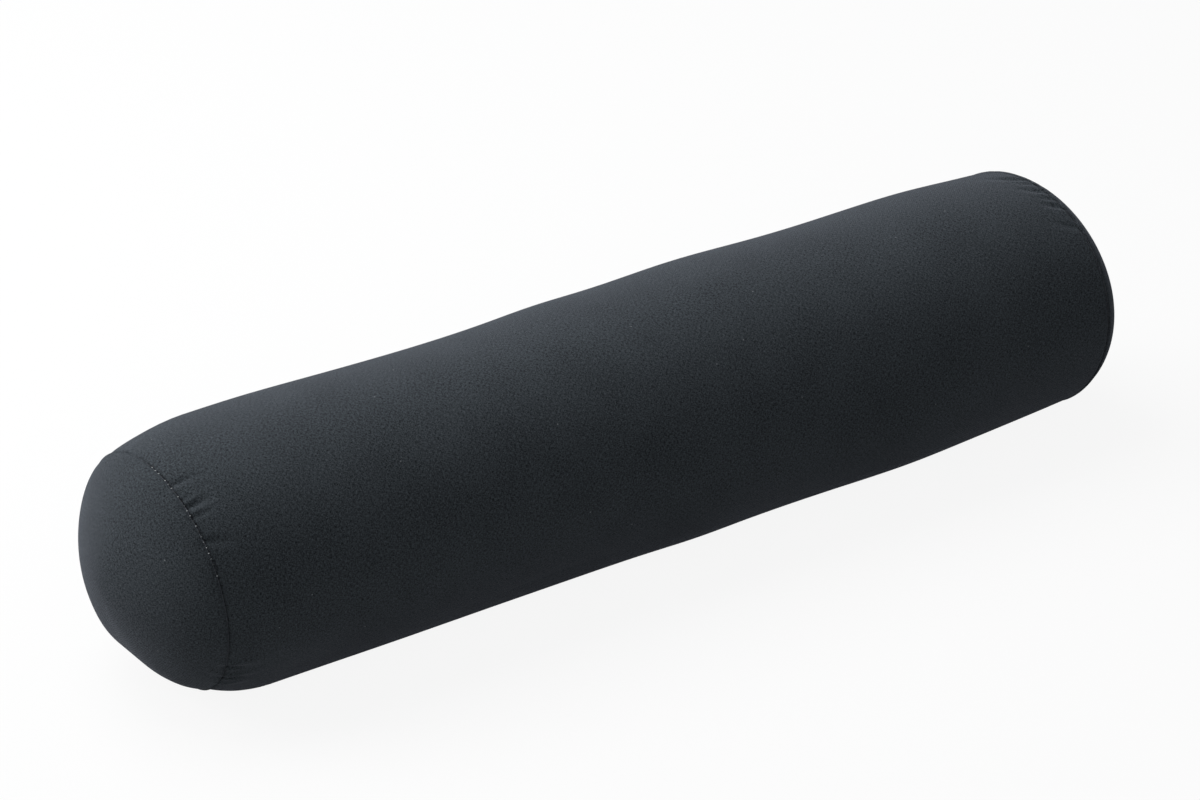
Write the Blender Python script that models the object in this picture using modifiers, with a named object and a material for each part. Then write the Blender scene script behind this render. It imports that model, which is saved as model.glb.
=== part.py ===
"""A slim round yoga bolster: a zipped cotton cover over an inner bag of filling.

Metres, +Z up, lying on its flattened underside at Z = 0, its length along X. The photographed side is -Y,
and the zip is in the cover's lengthwise seam at the back, +Y. A cloth piece is a flat sheet wrapped round
the body, as it is sewn, and thickened with Solidify. Every skin is the same body taken in by a depth.
"""

import math

import bmesh
import bpy

# The body: its round, and how its underside spreads where it rests
BODY_RADIUS = 0.075
UNDERSIDE_RADIUS = 0.045
UNDERSIDE_START = math.radians(50)
SEAM_TO_SEAM = 0.5706

# Each end: the seam's radius, the run over which the side narrows to it, and the end panel's rise and sag
LEFT_SEAM_RADIUS = 0.0668
LEFT_SHOULDER = 0.040
LEFT_DOME = 0.0366
LEFT_SAG = 0.0022
RIGHT_SEAM_RADIUS = 0.0708
RIGHT_SHOULDER = 0.118
RIGHT_DOME = 0.0350
RIGHT_SAG = 0.0026
DOME_FULLNESS = 1.60

# How the sewn ends lean: metres along X for each metre along Y and Z
LEFT_LEAN = (-0.054, -0.052)
RIGHT_LEAN = (-0.152, 0.025)

# Both ends curl a little to the front and up, past the straight middle
BOW_START = 0.165
BOW_REACH = 0.135
BOW_FRONT = -0.0016
BOW_UP = 0.0018

# Soft lumps of the filling: place along X, angle round the body, height, spread along X
LUMPS = (
    (-0.214, 60, 0.0011, 0.032),
    (-0.095, 60, -0.0014, 0.045),
    (-0.025, 62, 0.0009, 0.020),
    (0.068, 60, 0.0015, 0.030),
    (0.150, 60, -0.0006, 0.036),
    (0.226, 75, 0.0008, 0.024),
    (-0.225, 212, -0.0016, 0.030),
    (-0.070, 212, -0.0032, 0.045),
    (0.022, 212, 0.0030, 0.026),
    (0.160, 212, 0.0032, 0.034),
    (0.245, 215, -0.0010, 0.025),
    (-0.150, 130, 0.0004, 0.050),
    (0.060, 140, -0.0012, 0.050),
)
LUMP_SPREAD = 28.0
NO_LUMPS_BY_ZIP = (14.0, 34.0)
NO_LUMPS_BY_FLOOR = (30.0, 55.0)

# Cloths, and the room between pieces that touch
COVER_CLOTH = 0.0010
BAG_CLOTH = 0.0008
GAP = 0.0003
SEAM_ALLOWANCE = 0.005

# The zip: its place round the body, its length, and the slot that it fills
ZIP_ANGLE = math.radians(20)
ZIP_LENGTH = 0.300
SLOT_HALF = 0.005
SLOT_PAST_ZIP = 0.002
SLOT_CLOSE = 0.006
HEM = 0.009
TAPE_THICKNESS = 0.0005
TAPE_WIDTH = 0.0136
TAPE_PAST_ZIP = 0.012

# The two rows of moulded teeth, each on the cord along its tape
TOOTH_PITCH = 0.0030
TOOTH_NECK = 0.0009
TOOTH_HEAD = 0.0015
TOOTH_HEAD_LENGTH = 0.0008
TOOTH_REACH = 0.0012
TOOTH_HEIGHT = 0.0025
ROW_CORD = 0.0009
ROW_HALF = 0.0026
STOP_LENGTH = 0.0030

# The slider and its pull tab
SLIDER_LENGTH = 0.0110
SLIDER_REAR_HALF = 0.0038
SLIDER_FRONT_HALF = 0.0043
SLIDER_NOSE = 0.0020
SLIDER_PLATE = 0.0009
SLIDER_RAIL = 0.0009
SLIDER_LIP = 0.0001
POST_LENGTH = 0.0030
POST_HALF = 0.0011
BRIDGE_LENGTH = 0.0082
BRIDGE_ROOM = 0.0020
BRIDGE_BAR = 0.0009
BRIDGE_WIDTH = 0.0014
BRIDGE_CHAMFER = 0.0007
TAB_LENGTH = 0.026
TAB_WIDTH = 0.0062
TAB_THICKNESS = 0.0009
TAB_PIN = 0.0006
TAB_WINDOW = 0.0046
TAB_SIDE_ROOM = 0.0004
TAB_END_STEPS = 6
PIN_STEPS = 16

# How finely the cloth is divided
ROUND_STEPS_FRONT = 11
ROUND_STEPS_BACK = 4
UNDERSIDE_STEPS = 2
BODY_STEP = 0.040
LONGEST_STEP = 1.2 * BODY_STEP
SHOULDER_STEPS = 4
DOME_STEPS = 5
NEAREST_ROWS = 0.0055
CREASE_ANGLE = math.radians(45)

# The underside's arcs have their centres this far to each side and below the axis
ARC_ASIDE = (BODY_RADIUS - UNDERSIDE_RADIUS) * math.cos(UNDERSIDE_START)
ARC_BELOW = (BODY_RADIUS - UNDERSIDE_RADIUS) * math.sin(UNDERSIDE_START)
AXIS_HEIGHT = ARC_BELOW + UNDERSIDE_RADIUS
HALF_LENGTH = SEAM_TO_SEAM / 2
ZIP_HALF = ZIP_LENGTH / 2

# Depths below the cover's outer surface, from layer to layer down to the bag
HEM_DEPTH = 2 * COVER_CLOTH + GAP
TAPE_DEPTH = HEM_DEPTH + GAP
TAPE_MIDDLE = TAPE_DEPTH + TAPE_THICKNESS / 2
PLATE_INNER = TOOTH_HEIGHT / 2 + GAP
PLATE_OUTER = PLATE_INNER + SLIDER_PLATE
BAG_DEPTH = COVER_CLOTH + GAP
BAG_UNDER_HEM = HEM_DEPTH + GAP
BAG_UNDER_TAPE = TAPE_DEPTH + TAPE_THICKNESS + 2 * GAP
BAG_UNDER_SLIDER = TAPE_MIDDLE + PLATE_OUTER + GAP
BAG_TUCK = SEAM_ALLOWANCE + 4 * GAP
BAG_RISE = 0.020
TUCK_LENGTH = HEM_DEPTH + 5 * GAP
FILLING_IN_BAG = BAG_CLOTH + GAP

for old in list(bpy.context.scene.objects):
    bpy.data.objects.remove(old, do_unlink=True)

parts = bpy.data.collections.new("yoga_bolster")
shapes = bpy.data.collections.new("joined_shapes")
for collection in (parts, shapes):
    bpy.context.scene.collection.children.link(collection)


def material(name, colour, roughness, metallic=0.0):
    made = bpy.data.materials.new(name)
    made.use_nodes = True
    shader = made.node_tree.nodes["Principled BSDF"]
    shader.inputs["Base Color"].default_value = (*colour, 1.0)
    shader.inputs["Roughness"].default_value = roughness
    shader.inputs["Metallic"].default_value = metallic
    return made


COVER_COTTON = material("charcoal_cotton", (0.022, 0.024, 0.028), 0.9)
BAG_CALICO = material("unbleached_calico", (0.62, 0.57, 0.47), 0.9)
HULLS = material("buckwheat_hulls", (0.09, 0.055, 0.035), 0.8)
ZIP_TAPE = material("black_woven_tape", (0.018, 0.018, 0.020), 0.85)
ZIP_PLASTIC = material("black_acetal", (0.020, 0.020, 0.022), 0.45)
ZIP_METAL = material("black_lacquered_zinc", (0.040, 0.040, 0.043), 0.35, 0.8)


def clamp(value):
    return min(1.0, max(0.0, value))


# The section: each column of a sheet stands at an angle, on an arc centre, at a depth, and names its place


def column(angle, centre=(0.0, 0.0), radius=BODY_RADIUS, depth=0.0, place="body"):
    return {"angle": angle, "centre": centre, "radius": radius, "depth": depth, "place": place}


def steps(start, end, count):
    return [start + (end - start) * i / count for i in range(count + 1)]


def round_columns():
    """From the zip's upper hem over the top, down the front, along the underside and up to its lower hem."""
    hem_angle = (SLOT_HALF + HEM) / BODY_RADIUS
    front_start = math.pi + UNDERSIDE_START
    back_start = 2 * math.pi - UNDERSIDE_START
    over = steps(ZIP_ANGLE + hem_angle, front_start, ROUND_STEPS_FRONT)
    found = [column(a, place="hem_upper" if i == 0 else "body") for i, a in enumerate(over)]
    for side, start, end in ((-1, front_start, 1.5 * math.pi), (1, 1.5 * math.pi, back_start)):
        angles = steps(start, end, UNDERSIDE_STEPS)
        if side < 0:
            angles = angles[1:]
        centre = (side * ARC_ASIDE, -ARC_BELOW)
        found += [column(a, centre, UNDERSIDE_RADIUS) for a in angles]
    up = steps(back_start, 2 * math.pi + ZIP_ANGLE - hem_angle, ROUND_STEPS_BACK)[1:]
    found += [column(a) for a in up]
    found[-1]["place"] = "hem_lower"
    return found


def ring_columns():
    """The whole way round, for pieces with no slot."""
    edges = [column(ZIP_ANGLE, place="slot_upper"), column(ZIP_ANGLE, place="slot_lower")]
    around = [edges[0]] + round_columns() + [edges[1]]
    return around + [dict(edges[0])]


def side_columns():
    """The cover's side panel: its long edges turned under along the slot."""
    around = round_columns()
    upper = column(ZIP_ANGLE, place="slot_upper")
    lower = column(ZIP_ANGLE, place="slot_lower")
    under = [dict(around[0], depth=HEM_DEPTH), dict(upper, depth=HEM_DEPTH), upper]
    back = [lower, dict(lower, depth=HEM_DEPTH), dict(around[-1], depth=HEM_DEPTH)]
    return under + around + back


# The profile: each row of a sheet stands at an x, at a share of the body's radius, with the way inwards


def row(x, radius, inward=(0.0, -1.0), kind="body", moved=(0.0, 0.0), sag=0.0):
    return {"x": x, "radius": radius, "inward": inward, "kind": kind, "moved": moved, "sag": sag}


def end_sizes(side):
    if side < 0:
        return LEFT_SEAM_RADIUS, LEFT_SHOULDER, LEFT_DOME, LEFT_SAG, LEFT_LEAN
    return RIGHT_SEAM_RADIUS, RIGHT_SHOULDER, RIGHT_DOME, RIGHT_SAG, RIGHT_LEAN


def side_radius(x):
    """The side narrows to each seam along a parabola."""
    seam, shoulder, _, _, _ = end_sizes(x)
    along = clamp((abs(x) - HALF_LENGTH + shoulder) / shoulder)
    return BODY_RADIUS - (BODY_RADIUS - seam) * along**2


def body_places():
    """Places along X: the zip's slot and its closed ends, evenly between them, and both shoulders."""
    slot = ZIP_HALF + SLOT_PAST_ZIP
    marks = [-slot - SLOT_CLOSE, -slot, slot, slot + SLOT_CLOSE]
    left = -HALF_LENGTH + LEFT_SHOULDER
    right = HALF_LENGTH - RIGHT_SHOULDER
    shoulders = steps(left, -HALF_LENGTH, SHOULDER_STEPS) + steps(right, HALF_LENGTH, SHOULDER_STEPS)
    marks += [x for x in shoulders if all(abs(x - mark) > NEAREST_ROWS for mark in marks)]
    marks.sort()
    found = [marks[0]]
    for start, end in zip(marks, marks[1:]):
        count = 1 if end - start < LONGEST_STEP else math.ceil((end - start) / BODY_STEP)
        found += steps(start, end, count)[1:]
    return found


def dome_rows(side):
    """The end panel's rise from the seam to its pole, each row with its own way inwards and its sag."""
    seam, _, dome, sag, _ = end_sizes(side)
    power = 2 / DOME_FULLNESS
    foot = HALF_LENGTH + GAP / 2
    points = []
    for turn in steps(0.0, math.pi / 2, DOME_STEPS):
        points.append((foot + dome * math.sin(turn) ** power, seam * max(0.0, math.cos(turn)) ** power))
    found = []
    for i in range(1, len(points)):
        before = points[i - 1]
        after = points[min(i + 1, len(points) - 1)]
        run = (after[0] - before[0], after[1] - before[1])
        if i == len(points) - 1:
            run = (0.0, -1.0)
        length = math.hypot(*run)
        share = points[i][1] / seam
        sunk = side * sag * 4 * share**2 * (1 - share**2)
        inward = (side * run[1] / length, -run[0] / length)
        found.append(row(side * points[i][0], points[i][1], inward, sag=sunk))
    found[-1]["kind"] = "pole"
    return found


# Placing one corner of a sheet in the world


def slot_half(x):
    closing = clamp((abs(x) - ZIP_HALF - SLOT_PAST_ZIP) / SLOT_CLOSE)
    return SLOT_HALF + (GAP / 2 - SLOT_HALF) * closing


def lump(x, angle):
    """The filling's soft lumps, smooth beside the zip and flat on the underside."""
    degrees = math.degrees(angle) % 360
    from_zip = abs((degrees - math.degrees(ZIP_ANGLE) + 180) % 360 - 180)
    from_floor = abs(degrees - 270)
    fade = 1.0
    for away, (none, full) in ((from_zip, NO_LUMPS_BY_ZIP), (from_floor, NO_LUMPS_BY_FLOOR)):
        fade *= clamp((away - none) / (full - none))
    height = 0.0
    for middle, at, rise, spread in LUMPS:
        apart = abs((degrees - at + 180) % 360 - 180)
        height += rise * math.exp(-(((x - middle) / spread) ** 2 + (apart / LUMP_SPREAD) ** 2) / 2)
    return height * fade


def settle(x, y, z):
    """Leans the sewn ends and curls them past the straight middle, then stands the body on the floor."""
    _, shoulder, _, _, lean = end_sizes(x)
    leaning = clamp((abs(x) - HALF_LENGTH + shoulder) / shoulder) ** 2
    curl = (max(0.0, abs(x) - BOW_START) / BOW_REACH) ** 2
    return (
        x + leaning * (lean[0] * y + lean[1] * z),
        y + curl * BOW_FRONT,
        z + curl * BOW_UP + AXIS_HEIGHT,
    )


def corner(col, line, depth):
    """The corner at this column and row, taken in by depth along the way inwards, and sagged."""
    angle = col["angle"]
    if col["place"].startswith("slot"):
        turn = slot_half(line["x"]) / BODY_RADIUS
        angle += turn if col["place"] == "slot_upper" else -turn
    outward = (math.cos(angle), math.sin(angle))
    share = line["radius"] / BODY_RADIUS
    swell = lump(line["x"], angle) if line["kind"] != "pole" else 0.0
    taken = depth + col["depth"]
    along = line["moved"][0] + taken * line["inward"][0] - line["sag"] * outward[1]
    across = line["moved"][1] + taken * line["inward"][1]
    y, z = (
        share * (col["centre"][i] + (col["radius"] + swell) * outward[i]) + across * outward[i]
        for i in range(2)
    )
    if line["kind"] == "pole":
        y = z = 0.0
    return settle(line["x"] + along, y, z)


def sheet(name, columns, rows, depth, finish, thickness=0.0, flip=False):
    """A flat sheet with a corner for each column and row, wrapped round the body, its meeting edges sewn."""
    mesh = bpy.data.meshes.new(name)
    form = bmesh.new()
    across, along = len(columns) - 1, len(rows) - 1
    bmesh.ops.create_grid(form, x_segments=across, y_segments=along, size=1.0)
    for vert in form.verts:
        col = columns[round((vert.co.x + 1) / 2 * across)]
        line = rows[round((vert.co.y + 1) / 2 * along)]
        vert.co = corner(col, line, depth(col, line) if callable(depth) else depth)
    bmesh.ops.remove_doubles(form, verts=form.verts, dist=1e-6)
    flat = [f for f in form.faces if f.calc_area() < 1e-12]
    bmesh.ops.delete(form, geom=flat, context="FACES")
    if flip:
        bmesh.ops.reverse_faces(form, faces=form.faces)
    form.to_mesh(mesh)
    form.free()
    mesh.shade_smooth()
    mesh.set_sharp_from_angle(angle=CREASE_ANGLE)
    mesh.materials.append(finish)
    piece = bpy.data.objects.new(name, mesh)
    parts.objects.link(piece)
    piece.parent = body_frame
    if thickness:
        wall = piece.modifiers.new("cloth", "SOLIDIFY")
        wall.thickness = thickness
        wall.offset = -1.0
        wall.use_even_offset = True
        wall.use_quality_normals = True
    return piece


body_frame = bpy.data.objects.new("body_frame", None)
parts.objects.link(body_frame)


# The cover


def cover_side_panel():
    """One rectangle of cotton, rolled: its long edges meet at the zip and its short edges turn in."""
    rows = []
    edge = HALF_LENGTH - GAP / 2
    for x in body_places():
        if abs(abs(x) - HALF_LENGTH) < 1e-6:
            side = math.copysign(1.0, x)
            seam = row(side * edge, end_sizes(side)[0], (-side, -1.0))
            turned = row(side * edge, end_sizes(side)[0] - SEAM_ALLOWANCE, (-side, 0.0))
            rows += [seam, turned] if side > 0 else [turned, seam]
        else:
            rows.append(row(x, side_radius(x)))
    return sheet("cover_side_panel", side_columns(), rows, 0.0, COVER_COTTON, COVER_CLOTH)


def cover_end_panel(name, side):
    """A round panel that bulges from its seam, with its edge turned in against the side panel's."""
    seam = end_sizes(side)[0]
    foot = side * (HALF_LENGTH + GAP / 2)
    turned = row(foot, seam - SEAM_ALLOWANCE, (side, 0.0))
    rows = [turned, row(foot, seam, (side, -1.0))] + dome_rows(side)
    return sheet(name, ring_columns(), rows, 0.0, COVER_COTTON, COVER_CLOTH, flip=side < 0)


# The inner bag and its filling


def mitred(rows):
    """Turns each row's way inwards square to the rows on both sides, so that a wall keeps its thickness."""
    places = [(line["x"] + line["moved"][0], line["radius"] + line["moved"][1]) for line in rows]
    for i in range(1, len(rows) - 1):
        normals = []
        for start, end in ((places[i - 1], places[i]), (places[i], places[i + 1])):
            length = math.hypot(end[0] - start[0], end[1] - start[1])
            normals.append(((end[1] - start[1]) / length, (start[0] - end[0]) / length))
        total = (normals[0][0] + normals[1][0], normals[0][1] + normals[1][1])
        square = (total[0] ** 2 + total[1] ** 2) / 2
        rows[i]["inward"] = (total[0] / square, total[1] / square)
    return rows


def bag_row(line):
    return dict(line, moved=(BAG_DEPTH * line["inward"][0], BAG_DEPTH * line["inward"][1]))


def tuck_row(x, side):
    radius = side_radius(x) if abs(x) < HALF_LENGTH - GAP else end_sizes(side)[0]
    return row(x, radius, kind="tuck", moved=(0.0, -BAG_TUCK))


def bag_side_rows():
    """Along the cover's side panel, and drawn in past its turned edges at both seams."""
    rows = [bag_row(row(x, side_radius(x))) for x in body_places()[1:-1]]
    for side in (-1, 1):
        tucks = [tuck_row(side * (HALF_LENGTH - back), side) for back in (TUCK_LENGTH, GAP / 2)]
        rows = tucks[::-1] + rows if side < 0 else rows + tucks
    return mitred(rows)


def bag_end_rows(side):
    """From the pole of one end panel, or to it, and drawn in at its seam."""
    dome = [bag_row(line) for line in dome_rows(side)]
    for line in dome[:-1]:
        line["kind"] = "dome"
    rows = [tuck_row(side * (HALF_LENGTH + GAP / 2), side)] + dome
    return mitred(rows if side > 0 else rows[::-1])


def bag_dip(col, line):
    """How much deeper than its rows the bag lies under the turned hem, the tapes and the slider's path."""
    under = {"slot": BAG_UNDER_SLIDER, "hem_": BAG_UNDER_TAPE}.get(col["place"][:4])
    if line["kind"] != "body" or not under:
        return 0.0
    past = clamp((abs(line["x"]) - ZIP_HALF - TAPE_PAST_ZIP) / BAG_RISE)
    return under + (BAG_UNDER_HEM - under) * past - BAG_DEPTH


def filling_dip(col, line):
    return bag_dip(col, line) + FILLING_IN_BAG


def inner_bag_side_panel():
    return sheet("inner_bag_side_panel", ring_columns(), bag_side_rows(), bag_dip, BAG_CALICO, BAG_CLOTH)


def inner_bag_end(name, side):
    return sheet(name, ring_columns(), bag_end_rows(side), bag_dip, BAG_CALICO, BAG_CLOTH)


def filling():
    """The hulls as one mass that fills the bag, drawn in at the bag's two seams."""
    rows = mitred(bag_end_rows(-1)[:-1] + bag_side_rows() + bag_end_rows(1)[1:])
    return sheet("filling", ring_columns(), rows, filling_dip, HULLS)


# The zip, laid out flat in its own frame: X along it, Z outwards from the body, Z = 0 amid its tapes


def zip_frame():
    made = bpy.data.objects.new("zip_frame", None)
    parts.objects.link(made)
    made.parent = body_frame
    out = BODY_RADIUS - TAPE_MIDDLE
    made.location = (0.0, out * math.cos(ZIP_ANGLE), out * math.sin(ZIP_ANGLE) + AXIS_HEIGHT)
    made.rotation_euler = (ZIP_ANGLE - math.pi / 2, 0.0, 0.0)
    return made


def slab(name, outlines, low, high, finish, upright=False):
    """Flat outlines filled and extruded from low to high. Upright ones stand along X and Z, through Y."""
    curve = bpy.data.curves.new(name, "CURVE")
    curve.dimensions = "2D"
    curve.fill_mode = "BOTH"
    curve.extrude = (high - low) / 2
    for outline in outlines:
        spline = curve.splines.new("POLY")
        spline.points.add(len(outline) - 1)
        for point, (x, y) in zip(spline.points, outline):
            point.co = (x, y, 0.0, 1.0)
        spline.use_cyclic_u = True
    flat = bpy.data.objects.new(name + "_outline", curve)
    shapes.objects.link(flat)
    mesh = bpy.data.meshes.new_from_object(flat.evaluated_get(bpy.context.evaluated_depsgraph_get()))
    bpy.data.objects.remove(flat, do_unlink=True)
    form = bmesh.new()
    form.from_mesh(mesh)
    bmesh.ops.remove_doubles(form, verts=form.verts, dist=1e-6)
    middle = (low + high) / 2
    for vert in form.verts:
        vert.co.z += middle
        if upright:
            vert.co = (vert.co.x, -vert.co.z, vert.co.y)
    bmesh.ops.recalc_face_normals(form, faces=form.faces)
    form.to_mesh(mesh)
    form.free()
    mesh.materials.clear()
    mesh.materials.append(finish)
    piece = bpy.data.objects.new(name, mesh)
    parts.objects.link(piece)
    return piece


def join(piece, other):
    """Fuses another shape into this piece."""
    parts.objects.unlink(other)
    shapes.objects.link(other)
    other.hide_render = True
    other.display_type = "WIRE"
    union = piece.modifiers.new("with_" + other.name, "BOOLEAN")
    union.operation = "UNION"
    union.solver = "EXACT"
    union.object = other


def oblong(left, right, half):
    return [(left, -half), (right, -half), (right, half), (left, half)]


def zip_tape(name, side):
    """A woven tape, bent round with the cover, from the teeth out to under the hem."""
    inner = ROW_HALF + GAP
    places = (inner, SLOT_HALF, SLOT_HALF + HEM, inner + TAPE_WIDTH)
    columns = [column(ZIP_ANGLE + side * across / BODY_RADIUS) for across in places]
    reach = ZIP_HALF + TAPE_PAST_ZIP
    rows = [row(-reach, BODY_RADIUS), row(reach, BODY_RADIUS)]
    return sheet(name, columns, rows, TAPE_DEPTH, ZIP_TAPE, TAPE_THICKNESS, flip=side < 0)


def slider_rest():
    return ZIP_HALF - STOP_LENGTH - GAP - SLIDER_LENGTH / 2


def teeth_places(side):
    """Middles of one row's teeth, half a pitch from the other row's."""
    first = -ZIP_HALF + STOP_LENGTH + GAP + TOOTH_HEAD / 2
    last = slider_rest() + SLIDER_LENGTH / 2 - POST_LENGTH - GAP - TOOTH_HEAD / 2
    first += TOOTH_PITCH / 2 if side > 0 else 0.0
    return [first + i * TOOTH_PITCH for i in range(int((last - first) / TOOTH_PITCH) + 1)]


def zip_teeth(name, side):
    """A comb: the cord, and for each tooth a narrow neck and a wide head, hooked behind the other row's."""
    root = -side * (ROW_HALF - ROW_CORD)
    shoulder = side * (TOOTH_REACH - TOOTH_HEAD_LENGTH)
    tip = side * TOOTH_REACH
    back = -side * ROW_HALF
    places = teeth_places(side)
    outline = [(places[0] - TOOTH_HEAD / 2, back), (places[0] - TOOTH_HEAD / 2, root)]
    for x in places:
        neck, head = TOOTH_NECK / 2, TOOTH_HEAD / 2
        outline += [(x - neck, root), (x - neck, shoulder), (x - head, shoulder), (x - head, tip)]
        outline += [(x + head, tip), (x + head, shoulder), (x + neck, shoulder), (x + neck, root)]
    outline += [(places[-1] + TOOTH_HEAD / 2, root), (places[-1] + TOOTH_HEAD / 2, back)]
    row_piece = slab(name, [outline], -TOOTH_HEIGHT / 2, TOOTH_HEIGHT / 2, ZIP_PLASTIC)
    row_piece.parent = frame_of_zip
    return row_piece


def zip_stops():
    """A block across both rows at the closed end, and one on each row where the slider stops."""
    high = TOOTH_HEIGHT / 2
    start, end = -ZIP_HALF, ZIP_HALF
    bottom = slab("zip_bottom_stop", [oblong(start, start + STOP_LENGTH, ROW_HALF)], -high, high, ZIP_METAL)
    bottom.parent = frame_of_zip
    for name, side in (("zip_top_stop_upper", -1), ("zip_top_stop_lower", 1)):
        middle = side * (ROW_HALF - ROW_CORD)
        outline = oblong(end - STOP_LENGTH, end, ROW_CORD)
        stop = slab(name, [[(x, y + middle) for x, y in outline]], -high, high, ZIP_METAL)
        stop.parent = frame_of_zip


def plate_outline(inset=0.0):
    rear, front = -SLIDER_LENGTH / 2, SLIDER_LENGTH / 2
    wide = front - SLIDER_NOSE
    near, far = SLIDER_REAR_HALF - inset, SLIDER_FRONT_HALF - inset
    blunt = POST_HALF + SLIDER_RAIL
    half = [(rear, near), (wide, far), (front, blunt)]
    return [(x, -y) for x, y in half] + [(x, y) for x, y in reversed(half)]


def zip_slider_body():
    """Two plates with rails along their sides, a wedge between them that parts the rows, and a bridge."""
    slider = slab("zip_slider_body", [plate_outline()], PLATE_INNER, PLATE_OUTER, ZIP_METAL)
    under = slab("slider_under_plate", [plate_outline()], -PLATE_OUTER, -PLATE_INNER, ZIP_METAL)
    front = SLIDER_LENGTH / 2
    wedge = [(front - POST_LENGTH, 0.0), (front - POST_LENGTH / 2, -POST_HALF), (front - GAP, -POST_HALF)]
    wedge += [(front - GAP, POST_HALF), (front - POST_LENGTH / 2, POST_HALF)]
    overlap = SLIDER_PLATE / 3
    post = slab("slider_post", [wedge], -PLATE_INNER - overlap, PLATE_INNER + overlap, ZIP_METAL)
    rail_low = TAPE_THICKNESS / 2 + GAP
    rails = []
    for side in (-1, 1):
        rear, wide = -SLIDER_LENGTH / 2, SLIDER_LENGTH / 2 - SLIDER_NOSE
        line = [(rear + GAP, SLIDER_REAR_HALF), (wide, SLIDER_FRONT_HALF)]
        inner = [(x, y - SLIDER_RAIL) for x, y in reversed(line)]
        outline = [(x, side * y) for x, y in [(x, y - SLIDER_LIP) for x, y in line] + inner]
        for low, high in ((rail_low, PLATE_INNER + overlap), (-PLATE_INNER - overlap, -rail_low)):
            rails.append(slab("slider_rail", [outline], low, high, ZIP_METAL))
    foot, top = PLATE_OUTER - overlap, PLATE_OUTER + BRIDGE_ROOM + BRIDGE_BAR
    half, bar, cut = BRIDGE_LENGTH / 2, BRIDGE_BAR, BRIDGE_CHAMFER
    outer = [(half, foot), (half, top - cut), (half - cut, top)]
    inner = [(half - bar - cut, top - bar), (half - bar, top - bar - cut), (half - bar, foot)]
    arch = [(-x, z) for x, z in outer] + outer[::-1] + inner[::-1] + [(-x, z) for x, z in inner]
    bridge = slab("slider_bridge", [arch], -BRIDGE_WIDTH / 2, BRIDGE_WIDTH / 2, ZIP_METAL, upright=True)
    for other in [under, post, *rails, bridge]:
        if other is not under:
            join(slider, other)
        other.parent = slider
    join(slider, under)
    slider.parent = frame_of_zip
    slider.location = (slider_rest(), 0.0, 0.0)
    return slider


def zip_pull_tab(slider):
    """A flat tab with two arms and a round bar between them, its origin, that turns under the bridge."""
    eye_half = BRIDGE_WIDTH / 2 + TAB_SIDE_ROOM
    wide, narrow = TAB_WIDTH / 2, eye_half + 2 * TAB_PIN
    eye_end = -TAB_PIN - TAB_WINDOW
    outline = [(0.0, -narrow), (0.0, -eye_half), (eye_end, -eye_half), (eye_end, eye_half), (0.0, eye_half)]
    outline += [(0.0, narrow), (eye_end, narrow), (eye_end - narrow, wide)]
    round_end = -TAB_LENGTH + wide
    for turn in steps(math.pi / 2, -math.pi / 2, TAB_END_STEPS):
        outline.append((round_end - wide * math.cos(turn), wide * math.sin(turn)))
    outline += [(eye_end - narrow, -wide), (eye_end, -narrow)]
    tab = slab("zip_pull_tab", [outline], -TAB_THICKNESS / 2, TAB_THICKNESS / 2, ZIP_METAL)
    turns = steps(0.0, math.tau, PIN_STEPS)[1:]
    section = [(TAB_PIN * math.cos(turn), TAB_PIN * math.sin(turn)) for turn in turns]
    pin = slab("tab_pin", [section], -narrow + SLIDER_LIP, narrow - SLIDER_LIP, ZIP_METAL, upright=True)
    pin.parent = tab
    join(tab, pin)
    tab.parent = slider
    tab.location = (0.0, 0.0, PLATE_OUTER + TAB_THICKNESS)
    return tab


def centre_on_origin(ends):
    """Moves the whole bolster so that X and Y are measured from the middle of its box."""
    graph = bpy.context.evaluated_depsgraph_get()
    corners = []
    for piece in ends:
        evaluated = piece.evaluated_get(graph)
        corners += [evaluated.matrix_world @ vert.co for vert in evaluated.data.vertices]
    for axis in range(2):
        values = [point[axis] for point in corners]
        body_frame.location[axis] -= (min(values) + max(values)) / 2


side_panel = cover_side_panel()
left_end = cover_end_panel("cover_end_panel_left", -1)
right_end = cover_end_panel("cover_end_panel_right", 1)
inner_bag_side_panel()
inner_bag_end("inner_bag_end_left", -1)
inner_bag_end("inner_bag_end_right", 1)
filling()

frame_of_zip = zip_frame()
zip_tape("zip_tape_upper", 1)
zip_tape("zip_tape_lower", -1)
zip_teeth("zip_teeth_upper", 1)
zip_teeth("zip_teeth_lower", -1)
zip_stops()
zip_pull_tab(zip_slider_body())
centre_on_origin([side_panel, left_end, right_end])
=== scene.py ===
"""A slim round yoga bolster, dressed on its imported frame: a black cotton cover with a zip at its back, sewn
from a side panel and two end panels, over an inner calico bag filled with hulls. Metres, +Z up, its length
along X."""

import math

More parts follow.
